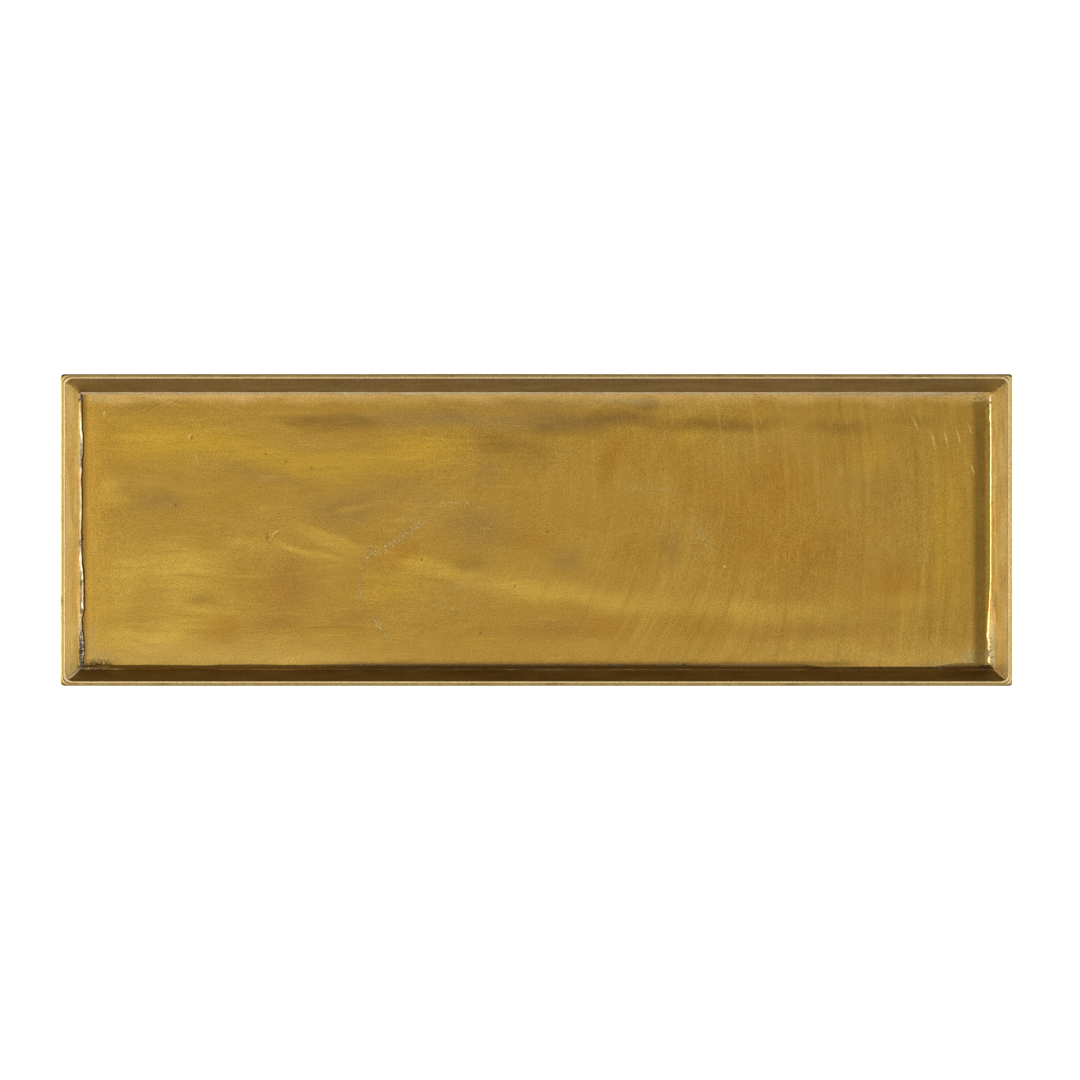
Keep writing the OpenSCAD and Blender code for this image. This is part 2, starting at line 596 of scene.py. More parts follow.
# Sizes of the floor's noise patterns, in mm along x and y.
CLOUD_SIZE = (70, 34)
MOTTLE_SIZE = (9, 8)
FLAKE_SIZE = (1.5, 1.2)
BELT_SIZE = (4.5, 110)
FINE_BELT_SIZE = (1.3, 24)
BELT_SCRATCH_SIZE = (0.9, 11)
BELT_PATCH_SIZE = (60, 50)
SMEAR_SIZE = (40, 4.2)
FINE_SMEAR_SIZE = (15, 1.3)
EDGE_WOBBLE_SIZE = (26, 12)
EDGE_STREAK_SIZE = (2.2, 30)
CRINKLE_SIZE = (7, 2.2)
STROKE_SIZE = (7, 1.1)
DIMPLE_SIZE = (2.2, 1.9)
# Where the tones beside the walls begin and are full, in mm from the foot of the wall.
# The back and front tones are paler floor by those walls: painted light reflected from the walls.
BACK_REFLECTION = (10, -1)
FRONT_REFLECTION = (24, 4)
# The front line is a ragged darker line by the front wall: painted shade.
FRONT_SHADE = (4.4, 1.2)
LEFT_TONE = (26, 3)
# The left line is a darker brown line by the left wall.
LEFT_BROWN = (6, 2.2)
# The right band is a painted shadow of the right wall on the floor.
RIGHT_SHADOW = (15, 10)
RIGHT_SHADOW_END = (4, 6)


def floor_patterns():
    f = Finish("floor_brass")
    f.flat = f.joined(f.x, f.y, 0)
    f.on_right = f.remap(f.x, -60, 110)
    f.on_left = f.minus(1, f.on_right)
    f.stain_place = f.warped(f.flat, 45, 8)
    f.cloud = f.noise(f.stain_place, CLOUD_SIZE, 3, 0.55)
    f.mottle = f.noise(f.flat, MOTTLE_SIZE, 4, 0.7)
    f.flake = f.noise(f.flat, FLAKE_SIZE, 2, 0.7)
    add_belt_marks(f)
    add_smears(f)
    return f


def add_belt_marks(f):
    """Arcs that stand nearly upright on the right-hand half and curl away to the left."""
    curve = f.remap(f.x, 40, 200, 0.0028, 0.0008)
    middle = f.remap(f.x, 60, 260, 36, -4)
    drop = f.minus(f.y, middle)
    f.belt_place = f.joined(f.plus(f.x, f.times(drop, drop, curve)), f.y, 0)
    f.belt = f.noise(f.belt_place, BELT_SIZE, 3, 0.65)
    f.fine_belt = f.noise(f.belt_place, FINE_BELT_SIZE, 2, 0.6)
    patches = f.remap(f.noise(f.flat, BELT_PATCH_SIZE), 0.3, 0.6, 0.35, 1)
    f.belt_share = f.times(f.on_right, patches)


def add_smears(f):
    """Long, loose, level rubbing marks on the left-hand half."""
    place = f.warped(f.flat, 70, 5)
    f.smear = f.noise(place, SMEAR_SIZE, 3, 0.6)
    f.fine_smear = f.noise(place, FINE_SMEAR_SIZE, 2, 0.6)


def by_half(f, left, right):
    """One value on the left-hand half and another on the right-hand half."""
    return f.node("Mix", {0: f.on_right, 2: left, 3: right}).outputs[0]


def stained(f):
    """Cloudy stains, broken up along the rubbing marks."""
    rough_mottle = f.times(f.mottle, 0.5)
    left_break = f.remap(f.plus(f.smear, rough_mottle), 0.5, 0.95, 0.75, 1.25)
    right_break = f.remap(f.plus(f.belt, rough_mottle), 0.5, 0.95, 0.7, 1.25)
    broken = by_half(f, left_break, right_break)
    for tone, *rows in TONES:
        amount = f.math("MULTIPLY", f.spots(f.stain_place, rows), broken, clamp=True)
        f.color = f.mix(amount, f.color, tone)


def rubbed(f):
    """The long light and dark tones of the belt marks and the smears."""
    belt_light = f.times(f.remap(f.belt, 0.5, 0.72), f.belt_share)
    f.lay(seen(188, 149, 66), belt_light, 0.48)
    belt_dark = f.times(f.remap(f.belt, 0.48, 0.28), f.belt_share)
    f.lay(seen(149, 106, 40), belt_dark, 0.42)
    lines = f.noise(f.belt_place, BELT_SCRATCH_SIZE, 1)
    scratches = f.times(f.remap(lines, 0.62, 0.76), f.belt_share)
    f.lay(seen(206, 168, 84), scratches, 0.4)
    smear_dark = f.times(f.remap(f.smear, 0.46, 0.28), f.on_left)
    f.lay(seen(154, 119, 50), smear_dark, 0.3)
    smear_light = f.times(f.remap(f.smear, 0.54, 0.72), f.on_left)
    f.lay(seen(192, 155, 70), smear_light, 0.3)


def edged(f):
    """Paler floor along the back and front walls, painted light reflected from the walls, and a
    ragged dark line of painted shade at the front.
    """
    uneven = f.minus(f.noise(f.flat, EDGE_WOBBLE_SIZE, 4, 0.6), 0.5)
    wobble = f.times(uneven, 14)
    to_back = f.plus(f.minus(FLOOR_HALF_Y / MM, f.y), wobble)
    to_front = f.plus(FLOOR_HALF_Y / MM, f.y)
    # Painted reflected light: paler floor by the back wall.
    back_reflection = f.times(f.remap(to_back, *BACK_REFLECTION), f.remap(f.x, -190, -120, 0.85, 0.65))
    f.lay(seen(210, 175, 107), back_reflection)
    # Painted reflected light: paler floor by the front wall, towards both ends.
    at_left = f.remap(f.x, -160, -70, 0.42, 0)
    share = f.plus(at_left, f.remap(f.x, 90, 230, 0.1, 0.38))
    front_reflection = f.times(f.remap(f.plus(to_front, wobble), *FRONT_REFLECTION), share)
    f.lay(seen(203, 168, 88), front_reflection)
    # Painted shade: a ragged dark line by the front wall.
    ragged = f.plus(to_front, f.times(f.mottle, -2.2))
    from_left = f.remap(f.x, -160, -110, 0.1, 0.7)
    share = f.times(from_left, f.remap(f.x, 190, 215, 1, 0.15))
    painted_shade = f.times(f.remap(ragged, *FRONT_SHADE), share)
    f.lay(seen(128, 96, 46), painted_shade)


def ended(f):
    """Streaks and a brown line at the left end, and a dark olive band at the right end, a painted
    shadow of the right wall.
    """
    streak = f.remap(f.noise(f.flat, EDGE_STREAK_SIZE, 3), 0.3, 0.7, 0.5, 1)
    to_left = f.plus(FLOOR_HALF_X / MM, f.x)
    to_right = f.minus(FLOOR_HALF_X / MM, f.x)
    by_left = f.times(f.remap(to_left, *LEFT_TONE, 0, 0.55), streak)
    f.lay(seen(201, 160, 68), by_left)
    # A darker brown line by the left wall.
    f.lay(seen(136, 98, 40), f.remap(to_left, *LEFT_BROWN, 0, 0.75))
    # Painted shadow of the right wall: a dark olive band along the right end.
    right_shadow = f.times(f.remap(to_right, *RIGHT_SHADOW), f.remap(to_right, *RIGHT_SHADOW_END, 0.4, 1))
    fade = f.remap(f.y, 92, 72, 0.35, 1)
    right_shadow = f.times(right_shadow, fade, f.remap(f.belt, 0.2, 0.6, 0.75, 1))
    f.lay(seen(112, 86, 35), right_shadow, 0.9)


def splashed(f):
    """Trails of whitish crumbs, and a few loose ones."""
    marks = f.spots(f.warped(f.flat, 7, 1.6), TRAILS)
    level = f.plus(f.flake, f.times(marks, 0.12))
    crumbs = f.times(f.remap(level, 0.64, 0.71), f.remap(marks, 0, 0.15))
    loose = f.times(f.dots(f.flat, 19, 0.8), 0.45)
    f.crumbs = f.math("ADD", crumbs, loose, clamp=True)
    f.lay(seen(228, 206, 160), f.crumbs, 0.6)


def knocked(f):
    """Hooked scratches, low ridges, knocks, pits and a scribble at the back left."""
    rise = f.math("MAXIMUM", f.minus(f.y, 45), 0)
    hooked = f.plus(f.x, f.times(rise, rise, 0.009))
    scratches = f.spots(f.joined(hooked, f.y, 0), CRESCENTS)
    f.lay(seen(214, 180, 100), scratches, 0.85)
    f.ridge_lines = f.spots(f.warped(f.flat, 12, 1.5), RIDGES)
    f.lay(seen(206, 167, 74), f.ridge_lines, 0.7)
    f.lay(seen(222, 186, 110), f.spots(f.flat, KNOCKS), 0.8)
    f.pits = f.spots(f.flat, PITS)
    f.lay(seen(104, 76, 36), f.pits, 0.6)
    turned_inputs = {0: f.flat, 3: math.radians(-35)}
    turned = f.node("VectorRotate", turned_inputs, rotation_type="Z_AXIS").outputs[0]
    strokes = f.remap(f.noise(turned, STROKE_SIZE, 2), 0.5, 0.62)
    scribble = f.times(f.spot(f.flat, *SCRIBBLE), strokes)
    f.lay(seen(116, 86, 40), scribble, 0.8)


def crusted_floor(f):
    """A patch of dark and pale crust at the front left, and crinkles at the back right."""
    rind = f.spot(f.warped(f.flat, 6, 1.5), *RIND)
    dark = f.times(rind, f.remap(f.flake, 0.62, 0.5))
    f.lay(seen(58, 44, 26), dark)
    pale = f.times(rind, f.remap(f.flake, 0.62, 0.68))
    f.lay(seen(222, 206, 164), pale)
    crinkle = f.times(f.spot(f.flat, *CRINKLE), f.ridges(f.flat, CRINKLE_SIZE, 0.032))
    f.lay(seen(228, 190, 132), crinkle, 0.7)


def floor_relief(f, drawn):
    """The height of the surface in mm, with its drawn-out grain."""
    height = f.times(f.noise(f.flat, DIMPLE_SIZE, 3, 0.7), 0.022)
    height = f.plus(height, f.times(drawn, 0.016))
    height = f.plus(height, f.times(f.belt, f.belt_share, 0.03))
    height = f.plus(height, f.times(f.crumbs, 0.1))
    height = f.plus(height, f.times(f.ridge_lines, 0.15))
    return f.minus(height, f.times(f.pits, 0.2))


def make_floor_brass():
    f = floor_patterns()
    f.color = f.mix(f.remap(f.cloud, 0.35, 0.65), seen(163, 125, 51), seen(175, 137, 60))
    for treat in (stained, rubbed, edged, ended, splashed, knocked, crusted_floor):
        treat(f)
    drawn = by_half(f, f.fine_smear, f.fine_belt)
    grain_shade = f.remap(drawn, 0.25, 0.75, 0.955, 1.045)
    f.shade(grain_shade, f.remap(f.mottle, 0.3, 0.7, 0.975, 1.025))
    f.grain_over(0.65, 0.25)
    rough = f.plus(f.remap(f.cloud, 0.3, 0.7, 0.38, 0.46), f.remap(f.mottle, 0.3, 0.7, -0.03, 0.03))
    return f.done(rough, floor_relief(f, drawn))


# ---- wall brass
# Pale streaks of solder on the back wall: x, z, half length, half height, strength, turn.
LENSES = (
    (-27, 4.8, 20, 1.1, 0.7),
    (-42, 6.5, 10, 0.8, 0.4, 3),
    (226, 7.5, 18, 1.3, 0.8, -4),
    (250, 4.5, 24, 1.2, 0.5),
)
# Heights in mm of the band along the rounded top edge, which carries a painted highlight, and of the
# band under it, which carries painted shade.
HIGHLIGHT_EDGE = (TOP / MM - 0.5, TOP / MM - 0.1)
UNDER_EDGE = (TOP / MM - 2, TOP / MM - 1)


def wall_patterns():
    f = Finish("wall_brass")
    f.streaks = f.noise(f.place, (42, 42, 1.4), 4, 0.65)
    f.blots = f.noise(f.place, (24, 24, 8), 4, 0.6)
    f.grain = f.noise(f.place, (1.8, 1.8, 1.8), 3, 0.7)
    # The band along the top edge that carries the painted highlight.
    f.edge = f.remap(f.z, *HIGHLIGHT_EDGE)
    return f


def bare_wall(f):
    """The metal itself, cloudy and streaked along the walls."""
    f.color = f.mix(f.remap(f.blots, 0.35, 0.65), seen(201, 178, 108), seen(211, 194, 128))
    f.lay(seen(208, 190, 146), f.remap(f.z, 9, 24), 0.6)
    f.lay(seen(160, 132, 74), f.remap(f.streaks, 0.5, 0.3, 0, 0.55))
    f.lay(seen(204, 184, 112), f.remap(f.streaks, 0.55, 0.75, 0, 0.55))


def long_wall_shade_and_lenses(f):
    """The front and back walls are painted darker, as painted shade: grey at the back, brown at the
    front.
    """
    at_front = f.remap(f.y, 20, -20)
    brown = f.mix(f.remap(f.blots, 0.35, 0.65), seen(90, 62, 25), seen(110, 80, 34))
    # Painted shade: the front and back walls are darker.
    long_wall_shade = f.mix(at_front, seen(136, 126, 129), brown)
    shade_share = f.times(f.on_long_sides(), f.remap(at_front, 0, 1, 0.4, 0.84))
    f.lay(long_wall_shade, shade_share)
    upright = f.joined(f.x, f.z, 0)
    lenses = f.spots(f.warped(upright, 9, 1.2), LENSES)
    f.lay(seen(206, 176, 116), f.times(lenses, f.remap(f.y, 20, 60)))


def aged_outside(f):
    """The outer faces are a deeper, browner brass with cloudy handling marks."""
    brown = f.mix(f.remap(f.streaks, 0.3, 0.7), seen(138, 109, 48), seen(156, 125, 58))
    brown = f.laid(brown, seen(166, 136, 70), f.remap(f.blots, 0.4, 0.7, 0, 0.6))
    f.lay(brown, f.outside(), 0.85)


def darkened(f):
    """A darker, cloudy tone along the foot, painted shade beside the thick end of the right seam
    against its reflection in the wall, and painted shade under the edge.
    """
    clouds = f.noise(f.place, (9, 9, 3))
    foot = f.times(f.remap(f.z, 4.5, 1.6), f.remap(clouds, 0.35, 0.6))
    f.lay(seen(120, 90, 46), foot, 0.5)
    on_right = f.remap(f.x, -1, 1)
    # Painted shade beside the thick end of the right run, against its reflection in the wall.
    beside_shade = f.times(on_right, f.remap(f.y, -34, -46), f.remap(f.z, 9, 6))
    f.lay(seen(150, 128, 84), beside_shade, 0.6)
    # Painted shade just under the rounded top edge.
    edge_shade = f.times(f.remap(f.z, *UNDER_EDGE), f.remap(f.streaks, 0.4, 0.6))
    f.lay(seen(110, 80, 40), edge_shade, 0.45)


def highlight_specks_and_groove(f):
    """A painted highlight along the rounded top edge, pale specks, and painted shade in the groove
    beside the strips.
    """
    at_right_end = f.remap(f.x, HALF_X / MM - 6, HALF_X / MM - 5)
    # Painted highlight along the rounded top edge.
    edge_highlight = f.mix(at_right_end, seen(244, 214, 150, 1), seen(236, 204, 140, 1))
    f.lay(edge_highlight, f.edge)
    f.lay(seen(226, 206, 164, 0.8), f.times(f.dots(f.place, 11, 0.7), 0.6))
    from_left = f.remap(f.x, 4 - HALF_X / MM, 8 - HALF_X / MM, 1, 0.25)
    # Painted shade in the groove beside the strips.
    painted_shade = f.times(f.joint_shade(), from_left)
    f.lay(seen(110, 82, 46, 1), painted_shade, 0.65)


def make_wall_brass():
    f = wall_patterns()
    bare_wall(f)
    for treat in (long_wall_shade_and_lenses, aged_outside, darkened, highlight_specks_and_groove):
        treat(f)
    f.shade(f.remap(f.grain, 0.25, 0.75, 0.95, 1.05))
    f.grain_over(0.9, 0.13)
    rough = f.minus(f.remap(f.blots, 0.3, 0.7, 0.5, 0.6), f.times(f.edge, 0.25))
    height = f.plus(f.times(f.grain, 0.04), f.times(f.streaks, 0.06))
    return f.done(rough, height)


# ---- rim brass
def make_rim_brass():
    f = Finish("rim_brass")
    streaks = f.noise(f.place, (18, 18, 1), 4, 0.65)
    blots = f.noise(f.place, (11, 11, 5), 4, 0.65)
    grain = f.noise(f.place, (1.1, 1.1, 1.1), 3, 0.7)
    f.color = f.mix(f.remap(blots, 0.35, 0.65), seen(190, 152, 90), seen(216, 180, 112))
    f.lay(seen(128, 96, 52), f.remap(streaks, 0.48, 0.3, 0, 0.6))
    rubbed = f.times(f.remap(f.z, 22, 24.4), f.remap(streaks, 0.35, 0.6))
    f.lay(seen(238, 206, 140, 1), rubbed, 0.6)
    # Painted highlight: the right strip is paler.
    on_right = f.remap(f.x, HALF_X / MM - 4, HALF_X / MM - 3)
    f.lay(seen(246, 220, 160, 1), on_right, 0.85)
    # Painted shade on the outer edges of the back and front strips.
    outer_back_shade = f.remap(f.y, HALF_Y / MM - 1.7, HALF_Y / MM - 1)
    f.lay(seen(104, 84, 52), outer_back_shade, 0.7)
    outer_front_shade = f.remap(f.y, 2.2 - HALF_Y / MM, 1.2 - HALF_Y / MM)
    f.lay(seen(128, 106, 76), outer_front_shade, 0.4)
    f.lay(seen(96, 72, 44), f.dots(f.place, 14, 0.7), 0.5)
    # Painted shade in the groove beside the walls.
    f.lay(seen(110, 82, 46, 1), f.joint_shade(), 0.3)
    f.shade(f.remap(grain, 0.25, 0.75, 0.95, 1.05))
    f.grain_over(0.9, 0.12)
    rough = f.remap(blots, 0.3, 0.7, 0.26, 0.4)
    height = f.plus(f.times(grain, 0.03), f.times(streaks, 0.06))
    return f.done(rough, height)


# ---- solder
# Crusty places on the runs: x, y, half width, half depth, strength.
CRUSTS = (
    (-287, -86, 13, 6, 1),
    (-292, 86, 7, 6, 0.9),
    (-292, -76, 9, 30, 1),
    (-292, 46, 4, 14, 0.6),
    (-292, -9, 4, 6, 1),
    (-291, -29, 4, 4, 0.5),
    (-290, -46, 3, 3, 0.4),
    (290, -79, 7, 16, 1),
    (291, 82, 4, 7, 0.7),
    (-128, -86.8, 4, 1.2, 0.9),
    (-111, -86.5, 7, 1.2, 0.8),
    (50, -86.5, 7, 1.2, 0.8),
    (92, -86.3, 18, 1.2, 0.7),
    (140, -86.3, 22, 1.4, 0.8),
    (222, -88, 8, 1.2, 0.9),
    (258, -88, 16, 1.4, 0.7),
)
# Where the left run's crest carries a painted highlight, and its dark knots.
CREST_HIGHLIGHTS = (
    (-293, 86, 12, 6, 0.5),
    (-293, 64, 12, 17, 1),
    (-293, 39, 12, 4, 1),
    (-293, 10, 12, 34, 0.35),
    (-293, -20, 12, 13, 1),
    (-293, -29, 12, 6, 0.9),
    (-293, -39, 12, 12, 0.5),
    (-293, -48.5, 12, 3, 1),
)
KNOTS = (
    (-292, 41.5, 3, 2.2, 0.9),
    (-292, -10, 3, 3.4, 1),
    (-292, -33, 3, 2, 0.7),
    (-291.5, -52, 3, 3, 0.8),
    (-292, 84, 4, 4, 0.8),
)
# How far the front run's tone reaches on the floor, in mm: full floor tone, then full wall tone, the
# darkest of its painted shade.
FRONT_REACH = (-85.6, -87.5)


def solder_patterns():
    f = Finish("solder")
    f.flat = f.joined(f.x, f.y, 0)
    f.lumps = f.noise(f.place, (2.6, 2.6, 2), 3, 0.65)
    f.fine = f.noise(f.place, (1.1, 1.1, 1.1), 2, 0.6)
    f.long = f.noise(f.place, (13, 13, 6), 3, 0.6)
    f.foot = f.minus(f.z, FLOOR_TOP / MM)
    on_long = f.on_long_sides()
    on_short = f.minus(1, on_long)
    f.at_left = f.times(on_short, f.remap(f.x, 1, -1))
    f.at_right = f.times(on_short, f.remap(f.x, -1, 1))
    f.at_front = f.times(on_long, f.remap(f.y, 1, -1))
    below_rim = f.remap(f.z, TOP / MM, TOP / MM - 1)
    f.in_corner = f.times(f.remap(f.foot, 2.5, 4), below_rim)
    f.puddle = f.times(f.at_right, f.remap(f.y, -56, -66))
    crust = f.spots(f.warped(f.flat, 7, 1.5), CRUSTS)
    f.crust = f.times(crust, f.minus(1, f.times(f.in_corner, 0.7)))
    return f


def gold_runs(f):
    """The back and right runs, polished gold."""
    f.color = f.mix(f.remap(f.long, 0.35, 0.65), seen(250, 206, 146, 0.9), seen(250, 213, 164, 0.9))
    golden = f.times(f.at_right, f.remap(f.y, 26, 14))
    f.lay(seen(250, 204, 130, 0.9), golden)
    ribbon = f.times(f.at_right, f.remap(f.y, -34, -44))
    f.lay(seen(242, 194, 112, 0.9), ribbon)
    f.lay(seen(252, 214, 146, 0.9), f.puddle)


def left_run(f):
    """The left run is duller, with a painted highlight on its crest in places, and dark knots."""
    body = f.mix(f.remap(f.long, 0.4, 0.6), seen(178, 148, 92, 1), seen(202, 172, 116, 1))
    thin = f.times(f.remap(f.y, 38, 30), f.remap(f.y, -28, -20))
    body = f.laid(body, seen(142, 116, 76, 1), thin, 0.5)
    # Painted highlight along the crest, in places.
    crest_highlight = f.times(f.remap(f.foot, 0.15, 0.35), f.remap(f.foot, 1.9, 1.1))
    crest_highlight = f.times(crest_highlight, f.remap(f.long, 0.36, 0.48, 0.6, 1), f.spots(f.flat, CREST_HIGHLIGHTS))
    body = f.laid(body, seen(252, 238, 204, 0.9), crest_highlight)
    body = f.laid(body, seen(58, 48, 34, 1), f.spots(f.flat, KNOTS), 0.85)
    f.lay(body, f.at_left)


def front_run(f):
    """Painted shade: the hollow along the front darkens from the floor's tone to the wall's."""
    rightward = f.remap(f.x, -150, -100)
    floor_tone = f.mix(rightward, seen(255, 217, 118, 1), seen(236, 192, 112, 1))
    shaded_tone = f.mix(rightward, seen(192, 155, 84, 1), seen(158, 125, 73, 1))
    ragged = f.times(f.minus(f.lumps, 0.5), 1.6)
    reach = f.plus(f.y, f.remap(f.x, 90, 125, 0, 0.9), ragged)
    # Painted shade across the hollow, from the floor's tone to the wall's.
    brown = f.mix(f.remap(reach, *FRONT_REACH), floor_tone, shaded_tone)
    # Painted shade on the run's right end.
    brown = f.laid(brown, seen(112, 92, 60, 1), f.remap(f.x, 282, 288))
    f.lay(brown, f.at_front)


def corner_beads(f):
    """Whitish at the front left, gold at the front right and brown at the back."""
    front = f.mix(f.remap(f.x, -20, 20), seen(240, 222, 180, 0.9), seen(236, 204, 140, 0.9))
    back = f.mix(f.remap(f.long, 0.4, 0.6), seen(170, 142, 92), seen(214, 184, 124))
    bead = f.mix(f.remap(f.y, -20, 20), front, back)
    f.lay(bead, f.in_corner)


def crusted_solder(f):
    """Dull crust with pits and whitish crumbs, and a painted shadow beside the left run."""
    f.lay(seen(98, 90, 76, 1), f.times(f.crust, f.at_left), 0.85)
    depth = f.plus(f.times(f.crust, 0.15), f.times(f.at_left, 0.03))
    pits = f.remap(f.minus(f.lumps, depth), 0.35, 0.27)
    f.lay(seen(60, 50, 38, 1), pits, 0.85)
    crumbs = f.times(f.crust, f.remap(f.fine, 0.5, 0.62))
    f.lay(seen(238, 228, 206, 1), crumbs, 0.75)
    # Painted shadow on the flat apron beside the left run.
    toe_shadow = f.times(f.remap(f.foot, 0.16, 0.08), f.at_left)
    f.lay(seen(80, 58, 30, 1), toe_shadow, 0.92)


def solder_gloss(f):
    """Roughness: smoothest on the right, frosted in the front corners."""
    satin = f.remap(f.lumps, 0.3, 0.7, 0.46, 0.34)
    rough = f.plus(satin, f.times(f.minus(f.at_left, f.at_right), 0.07))
    frosted = f.times(f.in_corner, f.remap(f.y, 20, -20))
    return f.plus(rough, f.times(f.puddle, 0.14), f.times(frosted, 0.3))


def make_solder():
    f = solder_patterns()
    gold_runs(f)
    for treat in (left_run, front_run, corner_beads, crusted_solder):
        treat(f)
    f.grain_over(1, 0.12)
    height = f.plus(f.times(f.lumps, 0.1), f.times(f.fine, 0.04))
    return f.done(solder_gloss(f), height)


FINISHES = {
    "floor_brass": make_floor_brass(),
    "wall_brass": make_wall_brass(),
    "rim_brass": make_rim_brass(),
    "solder": make_solder(),
}

# ---- floor sheet
FLOOR_STEP = 6 * MM
EDGE_STEP = 1 * MM
EDGE_COUNT = 17
TRUE_MARGIN = 12 * MM
SWELL = (0.16 * MM, 0.11, 0.07)
RIPPLE = (0.06 * MM, 0.035, 0.03)
UNDER_HOLLOW = (0.05 * MM, 0.09, 0.06)
RIGHT_RISE = 0.55 * MM
RISE_WAVES = (0.1375 * MM, 0.05)
RISE_FULL = 3.5 * MM
RISE_START = 13 * MM


def floor_lift(x, y, edge):
    """How far the hand-flattened sheet stands off a true plane."""
    return (wave(1, SWELL, x, y) + wave(2, RIPPLE, x, y)) * ease(edge, 0, TRUE_MARGIN)


def under_lift(x, y, edge):
    """How far the underside is hollowed inside its true margin."""
    return sunk(4, UNDER_HOLLOW, x, y) * ease(edge, 0, TRUE_MARGIN)


def right_rise(x, y):
    """The sheet turns up in a narrow band beside the right-hand wall."""
    level = 1 - ease(FLOOR_HALF_X - x, RISE_FULL, RISE_START)
    return (RIGHT_RISE + wave(3, RISE_WAVES, y)) * level


def make_floor():
    xs = places(FLOOR_HALF_X, EDGE_STEP, EDGE_COUNT, FLOOR_STEP)
    ys = places(FLOOR_HALF_Y, EDGE_STEP, EDGE_COUNT, FLOOR_STEP)
    tuck = LEAN * FLOOR_TOP
    vertices, top, bottom = [], {}, {}
    for i, x in enumerate(xs):
        for j, y in enumerate(ys):
            edge = min(FLOOR_HALF_X - abs(x), FLOOR_HALF_Y - abs(y))
            top[i, j] = len(vertices)
            vertices.append((x, y, FLOOR_TOP + floor_lift(x, y, edge) + right_rise(x, y)))
            bottom[i, j] = len(vertices)
            in_x, in_y = x * (1 - tuck / FLOOR_HALF_X), y * (1 - tuck / FLOOR_HALF_Y)
            vertices.append((in_x, in_y, under_lift(x, y, edge)))
    last_i, last_j = len(xs) - 1, len(ys) - 1
    faces = [
        (layer[i, j], layer[i + 1, j], layer[i + 1, j + 1], layer[i, j + 1])
        for layer in (top, bottom)
        for i in range(last_i)
        for j in range(last_j)
    ]
    around = [(i, 0) for i in range(last_i)] + [(last_i, j) for j in range(last_j)]
    around += [(i, last_j) for i in range(last_i, 0, -1)] + [(0, j) for j in range(last_j, 0, -1)]
    faces += [(top[a], top[b], bottom[b], bottom[a]) for a, b in zip(around, around[1:] + around[:1])]
    finish_piece("floor_plate", vertices, faces, "floor_brass")


# ---- walls and rim strips
EDGE_ROUND = 0.32 * MM
WALL_GROOVE = 0.25 * MM
LEFT_GROOVE = 0.46 * MM
STRIP_GROOVE = 0.18 * MM
WALL_LEVELS = 9
WALL_STEP = 5 * MM
WALL_SWAY = (0.22 * MM, 0.09, 0.02)
WALL_RIPPLE = (0.07 * MM, 0.03, 0.01)
STRIP_STEP = 4 * MM
STRIP_CROWN = 1.2 * MM
STRIP_THIN = (0.07 * MM, 0.07)
STRIP_FINE = (0.03 * MM, 0.015)
STRIP_LOW = (0.06 * MM, 0.06)
STRIP_FOOT_SWAY = (0.15 * MM, 0.05)
FOOT_ROUND = 0.38 * MM


def groove_size(side, along):
    """The groove beside the rim strip is widest at the left end."""
    at_left = 1 if side == "left" else 1 - ease(along, -HALF_X, -HALF_X + 20 * MM)
    if side == "right":
        at_left = 0
    return WALL_GROOVE + (LEFT_GROOVE - WALL_GROOVE) * at_left


def wall_section(side, seed):
    """A leaning wall with a slightly uneven inner face and a rounded top edge."""
    def section(along):
        groove = groove_size(side, along)
        loop = []
        for i in range(WALL_LEVELS + 1):
            up = (TOP - EDGE_ROUND) * i / WALL_LEVELS
            belly = math.sin(math.pi * up / TOP)
            sway = wave(seed, WALL_SWAY, along, up) + wave(seed + 1, WALL_RIPPLE, along, up)
            loop.append((inner(up) + sway * belly, up))
        edge = inner(TOP - EDGE_ROUND) + EDGE_ROUND
        loop += arc((edge, TOP - EDGE_ROUND), EDGE_ROUND, 150, 90, 3)
        loop += arc((outer(TOP) - groove, TOP - groove), groove, 90, 10, 3)
        loop += [(outer(up), up) for up in (STRIP_FOOT, 0.5 * TOP, 0.2 * TOP, 0)]
        return loop
    return section


def strip_section(seed):
    """A rim strip of slightly uneven thickness with a crowned top."""
    def section(along):
        shrink = sunk(seed, STRIP_THIN, along) + sunk(seed + 1, STRIP_FINE, along)
        top = TOP - sunk(seed + 2, STRIP_LOW, along)
        foot = STRIP_FOOT + wave(seed + 3, STRIP_FOOT_SWAY, along)
        loop = [(outer(foot), foot), (outer(foot) + STRIP_T - shrink - FOOT_ROUND, foot)]
        loop.append((outer(foot + FOOT_ROUND) + STRIP_T - shrink, foot + FOOT_ROUND))
        loop += arc((-shrink - STRIP_CROWN, top - STRIP_CROWN), STRIP_CROWN, -18, 90, 7)
        loop += arc((outer(TOP) + STRIP_GROOVE, top - STRIP_GROOVE), STRIP_GROOVE, 90, 170, 3)
        return loop
    return section


# ---- solder runs
SEAM_POINTS = 11


# Where a run changes, in mm along it: from, to and, for some, how softly.
LEFT_CRUST = (-86, -60)
LEFT_WIDE = (-58, -34, 10)
LEFT_SWOLLEN = (56, 72, 4)
RIGHT_PUDDLE = (-74, -38)
RIGHT_CRUST = (-84, -70)
RIGHT_KNOT = (72, 80)
BACK_WIDE = (190, 280, 12)
FRONT_NARROW = (195, 265, 20)
FRONT_FULL = (-160, -110)
FRONT_CRUST = (-283, -272)
FRONT_SWAY = (0.45, 45)
FRONT_RIPPLE = (0.3, 17)


# A run's shape at a place along it in mm: width on the floor, climb on the wall and bulge
# between them in mm, and its roughness.
def left_shape(at):
    crust = 1 - ease(at, *LEFT_CRUST)
    out = 1.3 * between(at, *LEFT_WIDE) + 0.5 * between(at, *LEFT_SWOLLEN)
    return 1 + out + 0.8 * crust, 2.7 - 0.8 * crust, 0.42, 0.9 + 0.7 * crust


